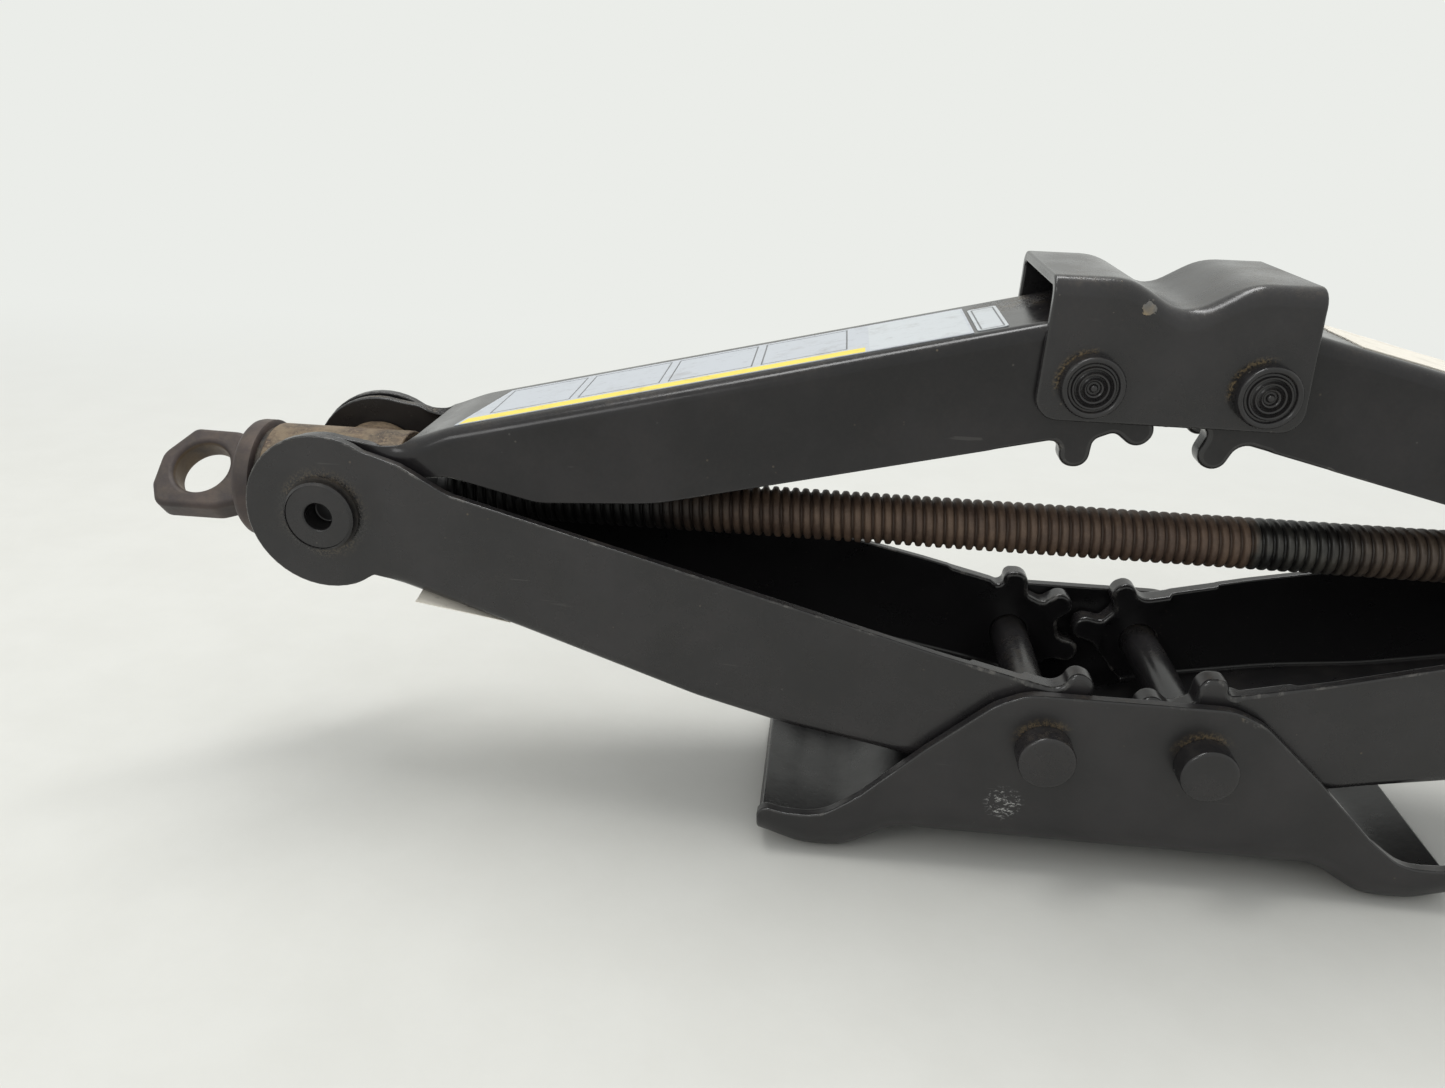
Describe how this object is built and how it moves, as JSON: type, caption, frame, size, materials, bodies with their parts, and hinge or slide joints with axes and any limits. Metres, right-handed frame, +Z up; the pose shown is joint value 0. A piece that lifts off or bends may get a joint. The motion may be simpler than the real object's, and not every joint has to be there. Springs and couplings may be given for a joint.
{
  "type": "scissor jack",
  "caption": "Screw-driven scissor jack with a stamped base, toothed channel arms, a grooved saddle and a drive eye at the end of its screw",
  "frame": {"origin": "On the floor, under the middle of the jack's whole length, halfway between the drive eye's front and the screw's free end; the middle of the base is 7.4 mm along +X", "axes": "+X along the screw from the drive eye towards the nut, +Y across the jack to its far side, +Z up"},
  "size_m": [0.4776, 0.08, 0.1423],
  "materials": {
    "base_paint": "black semi-gloss paint, dusty, lightly scratched",
    "lower_arm_paint": "black semi-gloss paint, worn bare along some edges",
    "upper_arm_paint": "black gloss paint, dusty",
    "saddle_paint": "black semi-gloss paint with tan dust round the rivets",
    "rivet_paint": "black painted rivet steel, gritty",
    "trunnion_steel": "brown rusty steel, dusty",
    "washer_steel": "dull darkened steel",
    "screw_steel": "rusty brown thread, greasy and black towards the nut",
    "forged_steel": "brown-grey forged steel with a light coat of rust",
    "label_grey": "bare grey film label with a yellow band",
    "label_paper": "bare pale paper label, torn and dusty"
  },
  "bodies": {
    "base": {"base": "base_paint", "base_rivet_left": "rivet_paint", "base_rivet_right": "rivet_paint"},
    "lower_arm_left": {"lower_arm_left": "lower_arm_paint", "under_label": "label_paper"},
    "lower_arm_right": {"lower_arm_right": "lower_arm_paint"},
    "upper_arm_left": {"upper_arm_left": "upper_arm_paint", "long_label": "label_grey", "tag_label": "label_grey"},
    "upper_arm_right": {"upper_arm_right": "upper_arm_paint", "paper_label": "label_paper"},
    "saddle": {"saddle": "saddle_paint", "saddle_rivet_left": "rivet_paint", "saddle_rivet_right": "rivet_paint"},
    "drive_trunnion": {"drive_trunnion": "trunnion_steel", "drive_trunnion_washers": "washer_steel"},
    "nut_trunnion": {"nut_trunnion": "trunnion_steel", "nut_trunnion_washers": "washer_steel"},
    "screw": {"screw": "screw_steel", "drive_eye": "forged_steel", "thrust_washer": "washer_steel", "retaining_ring": "washer_steel", "stop_washer": "washer_steel", "stop_pin": "screw_steel"}
  },
  "joints": [
    {"name": "lift", "type": "hinge", "parent": "base", "child": "lower_arm_left", "pos_m": [-0.0106, 0, 0.036], "axis": [0, 1, 0], "range_deg": [-7.5, 42.5]},
    {"name": "lower_right_lift", "type": "hinge", "parent": "base", "child": "lower_arm_right", "pos_m": [0.0254, 0, 0.036], "axis": [0, 1, 0], "range_deg": [-42.5, 7.5]},
    {"name": "upper_left_fold", "type": "hinge", "parent": "lower_arm_left", "child": "upper_arm_left", "pos_m": [-0.18563, 0, 0.07802], "axis": [0, 1, 0], "range_deg": [-85, 15]},
    {"name": "upper_right_fold", "type": "hinge", "parent": "lower_arm_right", "child": "upper_arm_right", "pos_m": [0.20043, 0, 0.07802], "axis": [0, 1, 0], "range_deg": [-15, 85]},
    {"name": "saddle_level", "type": "hinge", "parent": "upper_arm_left", "child": "saddle", "pos_m": [-0.0106, 0, 0.12004], "axis": [0, 1, 0], "range_deg": [-7.5, 42.5]},
    {"name": "drive_trunnion_level", "type": "hinge", "parent": "lower_arm_left", "child": "drive_trunnion", "pos_m": [-0.18563, 0, 0.07802], "axis": [0, 1, 0], "range_deg": [-42.5, 7.5]},
    {"name": "nut_trunnion_level", "type": "hinge", "parent": "lower_arm_right", "child": "nut_trunnion", "pos_m": [0.20043, 0, 0.07802], "axis": [0, 1, 0], "range_deg": [-7.5, 42.5]},
    {"name": "screw_turn", "type": "hinge", "parent": "drive_trunnion", "child": "screw", "pos_m": [-0.18563, 0, 0.07802], "axis": [1, 0, 0], "continuous": true}
  ],
  "couplings": [
    {"joint": "lower_right_lift", "follows": "lift", "ratio": -1},
    {"joint": "upper_left_fold", "follows": "lift", "ratio": -2},
    {"joint": "upper_right_fold", "follows": "lift", "ratio": 2},
    {"joint": "saddle_level", "follows": "lift", "ratio": 1},
    {"joint": "drive_trunnion_level", "follows": "lift", "ratio": -1},
    {"joint": "nut_trunnion_level", "follows": "lift", "ratio": 1}
  ]
}
